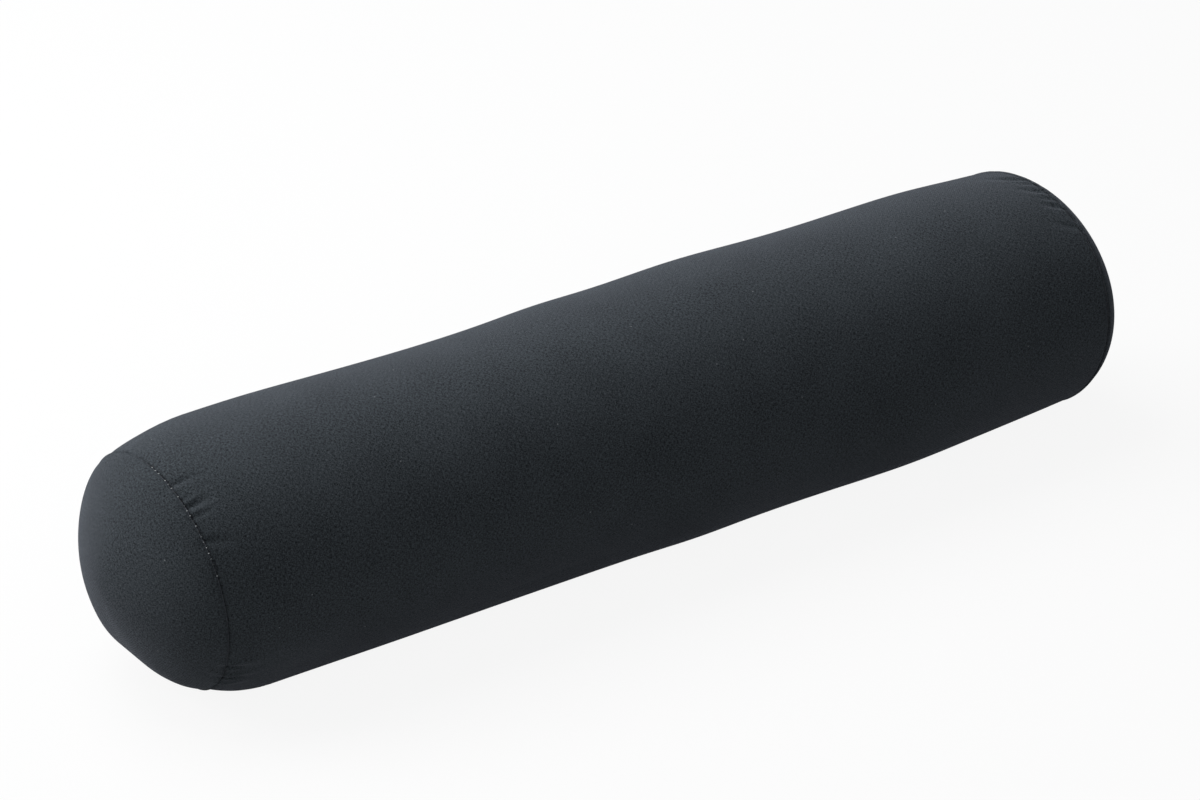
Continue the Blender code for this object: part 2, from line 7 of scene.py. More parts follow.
import bmesh
import bpy
import numpy as np
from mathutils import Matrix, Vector


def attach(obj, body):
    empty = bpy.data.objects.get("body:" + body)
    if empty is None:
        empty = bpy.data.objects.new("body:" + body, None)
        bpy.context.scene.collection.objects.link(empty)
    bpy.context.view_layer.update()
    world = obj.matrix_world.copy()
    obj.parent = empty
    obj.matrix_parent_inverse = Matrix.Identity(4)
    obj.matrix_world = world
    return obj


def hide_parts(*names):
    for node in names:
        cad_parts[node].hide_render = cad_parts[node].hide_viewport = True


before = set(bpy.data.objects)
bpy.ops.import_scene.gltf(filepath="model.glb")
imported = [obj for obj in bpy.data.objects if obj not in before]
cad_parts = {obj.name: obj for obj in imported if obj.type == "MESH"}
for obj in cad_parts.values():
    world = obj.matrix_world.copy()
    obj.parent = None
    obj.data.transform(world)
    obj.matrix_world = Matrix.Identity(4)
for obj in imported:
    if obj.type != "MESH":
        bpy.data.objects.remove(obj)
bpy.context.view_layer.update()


# The camera. The bolster was photographed with a long lens from its front left and above, so that its length
# runs away to the upper right. The camera's place and focal length, and the point that it aims at, come from
# fitting the bolster's outline and both of its end seams.
AIM = Vector((0.000632, 0.000686, 0.06798))
AZIMUTH = math.radians(-33.467)
ELEVATION = math.radians(29.635)
DISTANCE = 2.51076
SHIFT_RIGHT, SHIFT_UP = -0.006278, 0.012978
FOCAL_PIXELS, IMAGE_WIDTH = 4509.75, 1200
SENSOR_WIDTH = 36.0


def placed(name, data):
    """A new object in the scene, for a camera, a light or a mesh."""
    made = bpy.data.objects.new(name, data)
    bpy.context.scene.collection.objects.link(made)
    return made


level = math.cos(ELEVATION)
back = Vector((math.sin(AZIMUTH) * level, -math.cos(AZIMUTH) * level, math.sin(ELEVATION)))
right = Vector((math.cos(AZIMUTH), math.sin(AZIMUTH), 0.0))
lens = bpy.data.cameras.new("camera")
lens.sensor_width = SENSOR_WIDTH
lens.lens = SENSOR_WIDTH * FOCAL_PIXELS / IMAGE_WIDTH
camera = placed("camera", lens)
camera.location = AIM + back * DISTANCE + right * SHIFT_RIGHT + back.cross(right) * SHIFT_UP
camera.rotation_euler = (math.pi / 2 - ELEVATION, 0.0, AZIMUTH)
bpy.context.scene.camera = camera
bpy.context.scene.view_settings.view_transform = "Standard"


# The studio: a sweep of white paper under three soft lights, a strong one at the left, one overhead and a
# weak one near the camera that fills the shadows. The camera sees the room as white and the paper as nine
# tenths white, and the last tenth takes the bolster's shadow.
SWEEP_REACH, SWEEP_WHITE = 6.0, 0.90
ROOM_GLOW = 0.21


def linear(code):
    """The linear colour of an sRGB hex value."""
    parts = (int(code[i:i + 2], 16) / 255 for i in (1, 3, 5))
    return (*(c / 12.92 if c <= 0.04045 else ((c + 0.055) / 1.055) ** 2.4 for c in parts), 1.0)


def node(tree, kind, links=None, **settings):
    """Adds a node. Settings are its properties. Each link gives one of its sockets a value, another node's
    output, or another node, which stands for its first output."""
    made = tree.nodes.new(kind)
    for name, value in settings.items():
        setattr(made, name, value)
    for name, value in (links or {}).items():
        if isinstance(value, bpy.types.Node):
            value = value.outputs[0]
        if isinstance(value, bpy.types.NodeSocket):
            tree.links.new(value, made.inputs[name])
        else:
            made.inputs[name].default_value = value
    return made


def finish_named(name):
    """An empty material, its node tree and its output node."""
    made = bpy.data.materials.new(name)
    made.use_nodes = True
    made.node_tree.nodes.clear()
    return made, made.node_tree, made.node_tree.nodes.new("ShaderNodeOutputMaterial")


def seen_straight(tree):
    """1 for what is seen directly, in gloss or through glass, and 0 for what only lights the bolster."""
    path = node(tree, "ShaderNodeLightPath")
    camera_ray, glossy_ray = path.outputs["Is Camera Ray"], path.outputs["Is Glossy Ray"]
    direct = node(tree, "ShaderNodeMath", {0: camera_ray, 1: glossy_ray}, operation="MAXIMUM")
    through = path.outputs["Is Transmission Ray"]
    return node(tree, "ShaderNodeMath", {0: direct, 1: through}, operation="MAXIMUM")


paper, tree, out = finish_named("white_paper_sweep")
white = node(tree, "ShaderNodeEmission", {"Color": linear("#ffffff"), "Strength": 1.0})
seen = seen_straight(tree)
tint = node(tree, "ShaderNodeMix", {0: seen, 6: linear("#a8a8a6"), 7: linear("#f4f4f4")}, data_type="RGBA")
matt = node(tree, "ShaderNodeBsdfDiffuse", {"Color": tint.outputs[2]})
part_white = node(tree, "ShaderNodeMath", {0: seen, 1: SWEEP_WHITE}, operation="MULTIPLY")
mixed = node(tree, "ShaderNodeMixShader", {0: part_white, 1: matt, 2: white})
tree.links.new(mixed.outputs[0], out.inputs["Surface"])

sweep_mesh = bpy.data.meshes.new("floor_sweep")
corners = [(SWEEP_REACH * x, SWEEP_REACH * y, 0) for x, y in ((-1, -1), (1, -1), (1, 1), (-1, 1))]
sweep_mesh.from_pydata(corners, [], [(0, 1, 2, 3)])
sweep_mesh.materials.append(paper)
sweep = placed("floor_sweep", sweep_mesh)

room = bpy.data.worlds.new("studio")
room.use_nodes = True
room.node_tree.nodes.clear()
tree = room.node_tree
soft = node(tree, "ShaderNodeBackground", {"Color": linear("#eef2f6"), "Strength": ROOM_GLOW})
blank = node(tree, "ShaderNodeBackground", {"Color": linear("#ffffff"), "Strength": 1.0})
mixed = node(tree, "ShaderNodeMixShader", {0: seen_straight(tree), 1: soft, 2: blank})
tree.links.new(mixed.outputs[0], tree.nodes.new("ShaderNodeOutputWorld").inputs["Surface"])
bpy.context.scene.world = room

for name, place, size, power in (
    ("softbox_left", (-1.7, 1.3, 1.2), 1.2, 27.2),
    ("softbox_overhead", (-0.3, 0.7, 1.5), 1.2, 18.0),
    ("softbox_front", (-0.9, -1.4, 1.3), 1.0, 3.3),
):
    light = bpy.data.lights.new(name, "AREA")
    light.shape, light.size, light.energy = "SQUARE", size, power
    lamp = placed(name, light)
    lamp.location = place
    lamp.rotation_euler = (Vector(place) - AIM).to_track_quat("Z", "Y").to_euler()


# The cover's side panel: one rectangle of black cotton, rolled lengthwise. Its long edges are folded under
# and stitched down beside the zip, and its short edges are turned in at the end seams, which draw it into
# small folds.

# The cotton is a plain weave, washed and matt. Slubs and uneven dye mottle it, a short nap greys it where
# the eye skims along it, and a few pale specks of lint lie on it. Its threads are 0.5 mm apart, drawn 0.8 mm
# apart, because finer ones are lost in the render. A slub is 0.53 by 1.6 mm and a patch of uneven dye 38 mm.
# Specks lie about 71 mm apart, and their radius, 0.2 to 0.4 mm, is written as shares of that.
COTTON_PITCH = 0.0008
SLUB_THICK, SLUB_LONG = 1 / 1900, 1 / 620
DYE_PATCH = 1 / 26
LINT_APART, SPECK_CORE, SPECK_EDGE = 1 / 14, 0.003, 0.006


def woven_cotton(name, code, pitch, nap, lint):
    """A plain weave on the cloth's own UV map, its threads a pitch apart. Nap is how much it greys at a low
    angle, and lint is how pale its specks are."""
    made, tree, out = finish_named(name)
    place = node(tree, "ShaderNodeUVMap", uv_map="cloth")
    split = node(tree, "ShaderNodeSeparateXYZ", {0: place})
    numbers, rounds = [], []
    for along in (split.outputs[0], split.outputs[1]):
        counted = node(tree, "ShaderNodeMath", {0: along, 1: 1 / pitch}, operation="MULTIPLY")
        numbers.append(node(tree, "ShaderNodeMath", {0: counted}, operation="FLOOR"))
        swing = node(tree, "ShaderNodeMath", {0: counted, 1: math.pi}, operation="MULTIPLY")
        wave = node(tree, "ShaderNodeMath", {0: swing}, operation="SINE")
        rounds.append(node(tree, "ShaderNodeMath", {0: wave}, operation="ABSOLUTE"))
    both = node(tree, "ShaderNodeMath", {0: numbers[0], 1: numbers[1]}, operation="ADD")
    over = node(tree, "ShaderNodeMath", {0: both, 1: 2.0}, operation="FLOORED_MODULO")
    thread = node(tree, "ShaderNodeMix", {0: over, 2: rounds[0], 3: rounds[1]}, data_type="FLOAT")

    def patches(wide, long, detail):
        """Uneven patches of a width and a length."""
        spread = node(tree, "ShaderNodeMapping", {"Vector": place, "Scale": (1 / wide, 1 / long, 1.0)})
        return node(tree, "ShaderNodeTexNoise", {
            "Vector": spread, "Scale": 1.0, "Detail": detail, "Roughness": 0.6,
        })

    warp = patches(SLUB_THICK, SLUB_LONG, 2.0)
    weft = patches(SLUB_LONG, SLUB_THICK, 2.0)
    mottle = node(tree, "ShaderNodeMath", {0: warp, 1: weft}, operation="ADD")
    wash = patches(DYE_PATCH, DYE_PATCH, 3.0)
    tone = node(tree, "ShaderNodeMath", {0: wash, 1: 0.16, 2: mottle}, operation="MULTIPLY_ADD")
    shade = node(tree, "ShaderNodeMapRange", {
        "Value": tone, "From Min": 0.82, "From Max": 1.34, "To Min": 0.20, "To Max": 1.80,
    })
    dyed = node(tree, "ShaderNodeVectorMath", {0: linear(code)[:3], "Scale": shade}, operation="SCALE")
    fluff = node(tree, "ShaderNodeTexVoronoi", {
        "Vector": place, "Scale": 1 / LINT_APART,
    }, voronoi_dimensions="2D")
    speck = node(tree, "ShaderNodeMapRange", {
        "Value": fluff.outputs["Distance"], "From Min": SPECK_CORE, "From Max": SPECK_EDGE,
        "To Min": lint, "To Max": 0.0,
    })
    linted = node(tree, "ShaderNodeMix", {0: speck, 6: dyed, 7: linear("#a4a7aa")}, data_type="RGBA")
    height = node(tree, "ShaderNodeMath", {0: mottle, 1: thread}, operation="ADD")
    bump = node(tree, "ShaderNodeBump", {"Height": height, "Strength": 0.45, "Distance": 0.00018})
    shader = node(tree, "ShaderNodeBsdfPrincipled", {
        "Base Color": linted.outputs[2], "Roughness": 0.95, "Specular IOR Level": 0.03, "Normal": bump,
        "Sheen Weight": nap, "Sheen Roughness": 0.45, "Sheen Tint": linear("#e0e4f5"),
    })
    tree.links.new(shader.outputs[0], out.inputs["Surface"])
    return made


cover_cotton = woven_cotton("charcoal_cotton_plain_weave", "#3d4246", COTTON_PITCH, 0.22, 0.6)

# The body that every cloth follows: a round of 150 mm that spreads to a flat underside, narrows to a seam at
# each end, and is drawn out of true by its lumps of filling, the lean of its sewn ends and a slight bow. The
# camera was fitted together with it, so its middle stands under the point that the camera aims at.
ROUND = 0.075
UNDERSIDE_ROUND, UNDERSIDE_START = 0.045, math.radians(50)
ARC_ASIDE = (ROUND - UNDERSIDE_ROUND) * math.cos(UNDERSIDE_START)
ARC_BELOW = (ROUND - UNDERSIDE_ROUND) * math.sin(UNDERSIDE_START)
AXIS_HEIGHT = ARC_BELOW + UNDERSIDE_ROUND
HALF = 0.5706 / 2
ZIP_ANGLE = math.radians(20)
BOW_START, BOW_REACH, BOW_FRONT, BOW_UP = 0.165, 0.135, -0.0016, 0.0018

# Each end has its side of the middle, its seam's radius, the length over which the side narrows to that, the
# bulge and the sag of its panel, how far it leans for each metre across and up, and the round that its
# turned-in edge makes.
ENDS = {
    "left": {
        "side": -1, "seam": 0.0668, "shoulder": 0.040, "dome": 0.0366, "sag": 0.0022,
        "lean": (-0.054, -0.052), "roll": 0.0012,
    },
    "right": {
        "side": 1, "seam": 0.0708, "shoulder": 0.118, "dome": 0.0350, "sag": 0.0026,
        "lean": (-0.152, 0.025), "roll": 0.0005,
    },
}

# Each lump has its place along the body, its degrees round it, its height and its spread along the body.
# All of them fade out towards the zip, from 34 to 14 degrees off it, and towards the underside, from 55 to
# 30 degrees off straight down.
LUMPS = (
    (-0.214, 60, 0.0011, 0.032), (-0.095, 60, -0.0014, 0.045), (-0.025, 62, 0.0009, 0.020),
    (0.068, 60, 0.0015, 0.030), (0.150, 60, -0.0006, 0.036), (0.226, 75, 0.0008, 0.024),
    (-0.225, 212, -0.0016, 0.030), (-0.070, 212, -0.0032, 0.045), (0.022, 212, 0.0030, 0.026),
    (0.160, 212, 0.0032, 0.034), (0.245, 215, -0.0010, 0.025), (-0.150, 130, 0.0004, 0.050),
    (0.060, 140, -0.0012, 0.050),
)
LUMP_SPREAD = 28.0
FLAT_BY_ZIP, ZIP_FADE = 14, 20
FLAT_BELOW, BELOW_FADE = 30, 25

arc = UNDERSIDE_ROUND * (math.pi / 2 - UNDERSIDE_START)
over_the_top = ROUND * (math.pi + UNDERSIDE_START - ZIP_ANGLE)
up_the_back = ROUND * (UNDERSIDE_START + ZIP_ANGLE)
TURNS = np.cumsum([0.0, over_the_top, arc, 2 * ARC_ASIDE, arc, up_the_back])
STRAIGHT_DOWN = 1.5 * math.pi
ANGLES = np.array([
    ZIP_ANGLE, math.pi + UNDERSIDE_START, STRAIGHT_DOWN, STRAIGHT_DOWN,
    2 * math.pi - UNDERSIDE_START, 2 * math.pi + ZIP_ANGLE,
])
GIRTH = TURNS[-1]


def around(s):
    """The angle, arc centre and radius at a length s round the cloth from the zip, over the top first."""
    angle = np.interp(s, TURNS, ANGLES)
    flat = np.clip((s - TURNS[2]) / (TURNS[3] - TURNS[2]), 0, 1)
    under = (s > TURNS[1]) & (s < TURNS[4])
    aside = np.where(under, (2 * flat - 1) * ARC_ASIDE, 0.0)
    below = np.where(under, -ARC_BELOW, 0.0)
    return angle, aside, below, np.where(under, UNDERSIDE_ROUND, ROUND)


def apart(degrees, place):
    """How many degrees lie between two places round the body, the short way."""
    return np.abs((degrees - place + 180) % 360 - 180)


def lump(x, angle):
    """How far the lumps of filling push the cloth out."""
    degrees = np.degrees(angle) % 360
    by_zip = np.clip((apart(degrees, math.degrees(ZIP_ANGLE)) - FLAT_BY_ZIP) / ZIP_FADE, 0, 1)
    below = np.clip((apart(degrees, math.degrees(STRAIGHT_DOWN)) - FLAT_BELOW) / BELOW_FADE, 0, 1)
    height = 0.0
    for middle, place, rise, spread in LUMPS:
        turned = apart(degrees, place) / LUMP_SPREAD
        height = height + rise * np.exp(-(((x - middle) / spread) ** 2 + turned**2) / 2)
    return height * (by_zip * below)


def narrowed(x, end):
    """How far an end has drawn the body in at X: not at all at its shoulder, and fully at its seam."""
    return np.clip((end["side"] * x - HALF + end["shoulder"]) / end["shoulder"], 0, 1) ** 2


def body(x, s, radius, depth=0.0):
    """Points of the body at X, s and a radius, taken in by depth, leant, bowed and stood on the floor."""
    angle, aside, below, arc_radius = around(s)
    share = radius / ROUND
    out_by = share * (arc_radius + lump(x, angle)) - depth
    y = share * aside + out_by * np.cos(angle)
    z = share * below + out_by * np.sin(angle)
    leant = np.zeros_like(x + y)
    for end in ENDS.values():
        across, up = end["lean"]
        leant = leant + narrowed(x, end) * (across * y + up * z)
    curl = (np.maximum(0.0, np.abs(x) - BOW_START) / BOW_REACH) ** 2
    return np.stack([
        x + leant + AIM.x, y + curl * BOW_FRONT + AIM.y, z + curl * BOW_UP + AXIS_HEIGHT,
    ], axis=-1)


def side_radius(x):
    """The side narrows to each seam along a parabola."""
    radius = np.full_like(x, ROUND)
    for end in ENDS.values():
        radius = radius - (ROUND - end["seam"]) * narrowed(x, end)
    return radius


def normals(points):
    """The unit normal at each point of a grid, from its neighbours. It points into the body where the rows
    run towards +X, and out of it where they run towards -X."""
    down, along = np.gradient(points, axis=0), np.gradient(points, axis=1)
    normal = np.cross(down, along)
    return normal / np.maximum(np.linalg.norm(normal, axis=-1, keepdims=True), 1e-12)


def cloth_piece(name, points, flat, finish, thickness, wrap=False, pole=False, flip=False):
    """A cloth from rows of points, with its flat measure as its UV map and its thickness inwards. Its
    columns may wrap round, its last row may close in a pole, and its faces may be turned over."""
    rows, columns = points.shape[:2]
    mesh = bpy.data.meshes.new(name)
    form = bmesh.new()
    layer = form.loops.layers.uv.new("cloth")
    verts = [form.verts.new(p) for p in points.reshape(-1, 3)]
    for row in range(rows - 1):
        for column in range(columns if wrap else columns - 1):
            beside = (column + 1) % columns
            corners = [(row, column), (row, beside), (row + 1, beside), (row + 1, column)]
            if pole and row == rows - 2:
                corners = corners[:2] + [(row + 1, 0)]
            if flip:
                corners.reverse()
            face = form.faces.new([verts[i * columns + j] for i, j in corners])
            face.smooth = True
            for loop, (i, j) in zip(face.loops, corners):
                loop[layer].uv = flat[i, j]
    loose = [v for v in form.verts if not v.link_faces]
    bmesh.ops.delete(form, geom=loose, context="VERTS")
    form.to_mesh(mesh)
    form.free()
    mesh.materials.append(finish)
    piece = placed(name, mesh)
    wall = piece.modifiers.new("cloth_thickness", "SOLIDIFY")
    wall.thickness, wall.offset = thickness, -1.0
    return piece


# Where the cloth is eased into an end seam it creases. Each crease has its place round the cloth, its width,
# its length from the seam, its height and its drift. Those that the photograph shows come first, and the
# seam's hidden part gets more of the same, from a fixed seed. The seam holds a crease down to 0.4 of its
# height, which it regains over 3 mm, and 40 mm from the seam a crease is twice as wide.
CREASES = {
    "left": [
        (0.1160, 0.0018, 0.0108, -0.00112, 0.10), (0.1275, 0.0013, 0.0050, -0.00070, 0.00),
        (0.1335, 0.0018, 0.0088, -0.00175, -0.05), (0.1402, 0.0014, 0.0072, -0.00100, 0.00),
        (0.1560, 0.0021, 0.0100, -0.00125, 0.30), (0.2120, 0.0016, 0.0060, -0.00045, 0.00),
        (0.2405, 0.0021, 0.0180, 0.00085, -0.20), (0.2440, 0.0012, 0.0065, -0.00260, -0.20),
        (0.2535, 0.0020, 0.0165, 0.00090, -0.30), (0.2570, 0.0012, 0.0085, -0.00260, -0.30),
        (0.2665, 0.0018, 0.0120, 0.00085, -0.55),
    ],
    "right": [
        (0.0905, 0.0024, 0.0125, -0.00140, -0.70), (0.0990, 0.0016, 0.0060, -0.00070, -0.60),
        (0.1085, 0.0021, 0.0085, -0.00140, -0.70), (0.1165, 0.0017, 0.0065, -0.00100, -0.60),
        (0.1240, 0.0021, 0.0080, -0.00140, -0.70), (0.1410, 0.0023, 0.0110, -0.00080, -0.70),
    ],
}
HIDDEN_START, HIDDEN_STOP, HIDDEN_COUNT, FIRST_SEED = 0.62 * GIRTH, 1.15 * GIRTH, 17, 4
SEAM_HOLDS, HOLD_REACH, WIDEN_REACH = 0.4, 0.003, 0.04

for seed, creases in enumerate(CREASES.values(), FIRST_SEED):
    chance = np.random.default_rng(seed)
    for place in np.linspace(HIDDEN_START, HIDDEN_STOP, HIDDEN_COUNT):
        creases.append((
            place + chance.uniform(-0.006, 0.006), chance.uniform(0.0015, 0.0026),
            chance.uniform(0.005, 0.016), chance.choice((-1, 1)) * chance.uniform(0.00020, 0.00060),
            chance.uniform(-0.4, 0.4),
        ))


def creased(end_name, s, reach):
    """How far the creases lift the cloth at s, at a reach from that end's seam."""
    lift = np.zeros(np.broadcast(s, reach).shape)
    held = SEAM_HOLDS + (1 - SEAM_HOLDS) * np.clip(reach / HOLD_REACH, 0, 1)
    for place, width, length, height, drift in CREASES[end_name]:
        aside = (s - place - drift * reach + GIRTH / 2) % GIRTH - GIRTH / 2
        widths = aside / (width * (1 + reach / WIDEN_REACH))
        lift += height * (1 - widths**2 / 2) * np.exp(-widths**2 / 2) * np.exp(-(reach / length) ** 2)
    return lift * held


# The panel's own sizes. Its slot is 10 mm wide, shuts over 6 mm past each end of the zip and is barred with
# stitches 4 mm on. Its columns stand closer where the photograph shows creases, from 0.084 to 0.162 and from
# 0.236 to 0.272 round the cloth, and beside the slot, where the stitches draw the hem down.
ZIP_HALF = 0.150
SLOT_HALF, SLOT_PAST_ZIP, SLOT_CLOSE, BAR_PAST_SLOT = 0.005, 0.002, 0.006, 0.004
TACK = ZIP_HALF + SLOT_PAST_ZIP + SLOT_CLOSE + BAR_PAST_SLOT
GAP, SHUT = 0.0003, 0.0001
COVER_CLOTH = 0.0006
HEM, HEM_HALFWAY, FOLD = 0.009, 0.005, 0.00115
ALLOWANCE = 0.005
STITCH_IN, STITCH_SINK, STITCH_DIP = 0.0060, 0.00035, 0.0008
CREASE_REACH, FLAT_HEM, HEM_FADE = 0.12, 0.004, 0.012
COARSE, FINE, MIDDLE_COUNT = 0.0021, 0.00105, 90
SPANS = (
    (0.014, COARSE), (0.084, FINE), (0.162, COARSE), (0.236, FINE), (0.272, COARSE), (GIRTH - 0.014, 0),
)
BESIDE_SLOT = np.array([0.0020, 0.0032, 0.0045, 0.0054, 0.0060, 0.0066, 0.0075, 0.0090])


def eased(share):
    """A share from 0 to 1 that starts and stops softly."""
    share = np.clip(share, 0, 1)
    return share * share * (3 - 2 * share)


def slot_half(x):
    """Half the slot's width: open along the zip, and all but shut past both of its ends."""
    closing = eased((np.abs(x) - ZIP_HALF - SLOT_PAST_ZIP) / SLOT_CLOSE)
    return SLOT_HALF + (SHUT / 2 - SLOT_HALF) * closing


def turned_in(roll):
    """The reach and the depth of the rows at an end seam: up the allowance, round the roll and 20 mm on."""
    bend = np.linspace(0, math.pi / 2, 5)[1:][::-1]
    along = np.linspace(0, 0.020, 15)
    reach = np.concatenate([[0, 0], roll * (1 - np.sin(bend)), roll + along])
    depth = np.concatenate([
        [ALLOWANCE, (roll + ALLOWANCE) / 2], roll * (1 - np.cos(bend)), np.zeros(len(along)),
    ])
    return reach, depth


def side_rows(foot):
    """X and the depth of each row of the side panel. At each end of the slot 18 rows stand close together,
    from 1 mm past the zip to 2 mm past the bar of stitches."""
    (left_reach, left_depth), (right_reach, right_depth) = (turned_in(end["roll"]) for end in ENDS.values())
    run = np.linspace(left_reach[-1] - foot, foot - right_reach[-1], MIDDLE_COUNT + 2)[1:-1]
    closing = np.linspace(ZIP_HALF + 0.0010, TACK + 0.0020, 18)
    clear = np.abs(np.abs(run) - closing.mean()) > (closing[-1] - closing[0]) / 2 + 0.0006
    run = np.sort(np.concatenate([run[clear], closing, -closing]))
    x = np.concatenate([left_reach - foot, run, foot - right_reach[::-1]])
    return x, np.concatenate([left_depth, np.zeros(len(run)), right_depth[::-1]])


def side_columns(half):
    """The s and the depth of each column: up the upper hem, round its fold, round the body and back under
    the lower hem."""
    bend = np.linspace(0, math.pi, 7)[::-1]
    hem = np.concatenate([[HEM, HEM_HALFWAY], FOLD * (1 - np.sin(bend)), BESIDE_SLOT])
    hem_depth = np.concatenate([[2 * FOLD, 2 * FOLD], FOLD * (1 - np.cos(bend)), np.zeros(len(BESIDE_SLOT))])
    marks = [np.arange(a, b - step / 2, step) for (a, step), (b, _) in zip(SPANS, SPANS[1:])]
    middle = np.concatenate(marks)[None, 1:]
    middle = (middle - middle.min() + COARSE / 2) / (middle.max() - middle.min() + COARSE)
    start = half + BESIDE_SLOT[-1]
    s = np.concatenate([
        half + hem[None], start + (GIRTH - 2 * start) * middle, GIRTH - half - hem[None, ::-1],
    ], axis=1)
    return s, np.concatenate([hem_depth, np.zeros(middle.shape[1]), hem_depth[::-1]])[None]


def side_panel():
    """The whole panel, creased at its ends and drawn down along its stitches."""
    foot = HALF - GAP / 2
    rows, row_depth = side_rows(foot)
    half = slot_half(rows[:, None])
    s, column_depth = side_columns(half)
    x = np.broadcast_to(rows[:, None], s.shape)
    points = body(x, s, side_radius(x), column_depth + row_depth[:, None])
    lift = np.zeros(s.shape)
    for end_name, end in ENDS.items():
        reach = foot - end["side"] * x
        lift += creased(end_name, s, reach) * (reach < CREASE_REACH)
    from_fold = np.minimum(s, GIRTH - s) - half
    lift *= np.clip((from_fold - FLAT_HEM) / HEM_FADE, 0, 1)
    along = np.exp(-((from_fold - STITCH_IN) / STITCH_DIP) ** 2)
    barred = np.exp(-((np.abs(x) - TACK) / STITCH_DIP) ** 2) * (from_fold < STITCH_IN)
    lift -= STITCH_SINK * np.maximum(along, barred) * (column_depth == 0)
    points = points - normals(points) * lift[..., None]
    return cloth_piece("cover_side", points, np.stack([s, x], axis=-1), cover_cotton, COVER_CLOTH)


cover_side = side_panel()
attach(cover_side, "bolster")
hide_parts("cover_side_panel")


# The cover's end panels: rounds of the same cotton that bulge with the filling, and sag a little with its
# weight. The edge is turned in against the side panel's, and the seam's easing shows as the same small folds
# on this side of it, half as high and half as long.
FULLNESS = 1.60
BULGE_ADDS = 0.010
COLUMN_COUNT = 240
EDGE_TURN, EDGE_ROWS, MIDDLE_ROWS = 0.35, 19, 33
CREASE_SHARE, ROLL_SHARE = 0.5, 0.8
CALM_MIDDLE = 0.004


def end_panel(name):
    """One end panel, from its turned-in edge to a pole at its middle."""
    end = ENDS[name]
    side, seam = end["side"], end["seam"]
    power = 2 / FULLNESS
    foot = HALF + GAP / 2
    edge_turn = np.linspace(0, EDGE_TURN, EDGE_ROWS + 1)[1:]
    middle_turn = np.linspace(EDGE_TURN, math.pi / 2, MIDDLE_ROWS + 1)[1:]
    turn = np.concatenate([edge_turn, middle_turn])
    x = np.concatenate([[foot, foot], foot + end["dome"] * np.sin(turn) ** power])
    radius = np.concatenate([[seam - ALLOWANCE, seam], seam * np.maximum(np.cos(turn), 0) ** power])
    columns = np.linspace(0, GIRTH, COLUMN_COUNT + 1)[None, :-1]
    grid_x, s = np.broadcast_arrays(side * x[:, None], columns)
    angle, aside, below, arc_radius = around(s)
    share = np.minimum(radius / seam, 1)[:, None]
    share[:2] = 1
    sunk = side * end["sag"] * 4 * share**2 * (1 - share**2) * np.sin(angle)
    points = body(grid_x - sunk, s, np.broadcast_to(radius[:, None], s.shape))

    steps = np.hypot(np.diff(x[1:]), np.diff(radius[1:]))
    reach = np.concatenate([[0, 0], np.cumsum(steps)])[:, None]
    roll = ROLL_SHARE * end["roll"]
    lift = creased(name, s, np.broadcast_to(reach / CREASE_SHARE, s.shape)) * CREASE_SHARE
    lift = lift - roll * (1 - np.sqrt(1 - np.clip(1 - reach / roll, 0, 1) ** 2))
    lift[0] = 0
    outwards = normals(points) * -side
    outwards[-1] = (side, 0, 0)
    points = points + outwards * lift[..., None] * (radius > CALM_MIDDLE)[:, None, None]
    points[-1] = points[-1].mean(axis=0)

    towards = np.arctan2(below + arc_radius * np.sin(angle), aside + arc_radius * np.cos(angle))
    from_middle = reach[-1] - reach
    flat = np.stack([from_middle * np.cos(towards), from_middle * np.sin(towards)], axis=-1)
    return cloth_piece(
        "cover_end_" + name, points, flat, cover_cotton, COVER_CLOTH, wrap=True, pole=True, flip=side < 0,
    )


for name, end in ENDS.items():
    panel = end_panel(name)
    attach(panel, "bolster")
    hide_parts("cover_end_panel_" + name)
    across = 2 * (end["seam"] + ALLOWANCE + BULGE_ADDS)


# The sewing thread: a dark grey spun polyester, in lockstitches 3 mm apart. At the end seams the filling
# pulls the seam open a little and each stitch shows as a dot in its groove. Beside the zip both hems are
# topstitched, and a short bar of stitches crosses each end of the slot.
STITCH_PITCH, THREAD_THICKNESS = 0.0030, 0.00045
DOT_LENGTH, TOPSTITCH_LENGTH = 0.0011, 0.0024

# The middles of the stitches lie deep in a seam's groove, or proud of it high on the left seam, where they
# carry a painted highlight, and as little under the cloth's face along the hems. A bar's lie deeper, most of
# all within 1 mm of the slot's middle.
DEEP, PROUD, ON_BAR, BAR_OVER_SLOT = 0.0008, 0.00012, 0.00026, 0.0006

# The thread is soft and dark grey. High on the left seam, where the light falls on it, its dots are painted
# pale in patches of 4.2 mm, a painted highlight. Elsewhere the same patches pale it only a little.
LIT_SEAM_START, LIT_SEAM_STOP = 0.093, 0.177
PALE_PATCH = 1 / 240


def spun_thread(name, code, pale_share):
    """A spun thread of one colour that goes pale in patches, up to a share; a full share is a painted
    highlight.
    """
    made, tree, out = finish_named(name)
    place = node(tree, "ShaderNodeTexCoord").outputs["Object"]
    pale_patches = node(tree, "ShaderNodeTexNoise", {"Vector": place, "Scale": 1 / PALE_PATCH, "Detail": 0.0})
    pale = node(tree, "ShaderNodeMapRange", {
        "Value": pale_patches, "From Min": 0.38, "From Max": 0.47, "To Max": pale_share,
    })
    # The pale patches: a painted highlight on the lit stitches, and a slight unevenness on the rest.
    tone = node(tree, "ShaderNodeMix", {0: pale, 6: linear(code), 7: linear("#d4d8da")}, data_type="RGBA")
    shader = node(tree, "ShaderNodeBsdfPrincipled", {
        "Base Color": tone.outputs[2], "Roughness": 0.55, "Sheen Weight": 0.2, "Sheen Roughness": 0.4,
    })
    tree.links.new(shader.outputs[0], out.inputs["Surface"])
    return made


# The stitches high on the left seam are painted pale all the way, a painted highlight where the light falls.
painted_highlight_thread = spun_thread("grey_polyester_thread_painted_highlight", "#2a2e31", 1.0)
plain_thread = spun_thread("grey_polyester_thread", "#3b4043", 0.10)


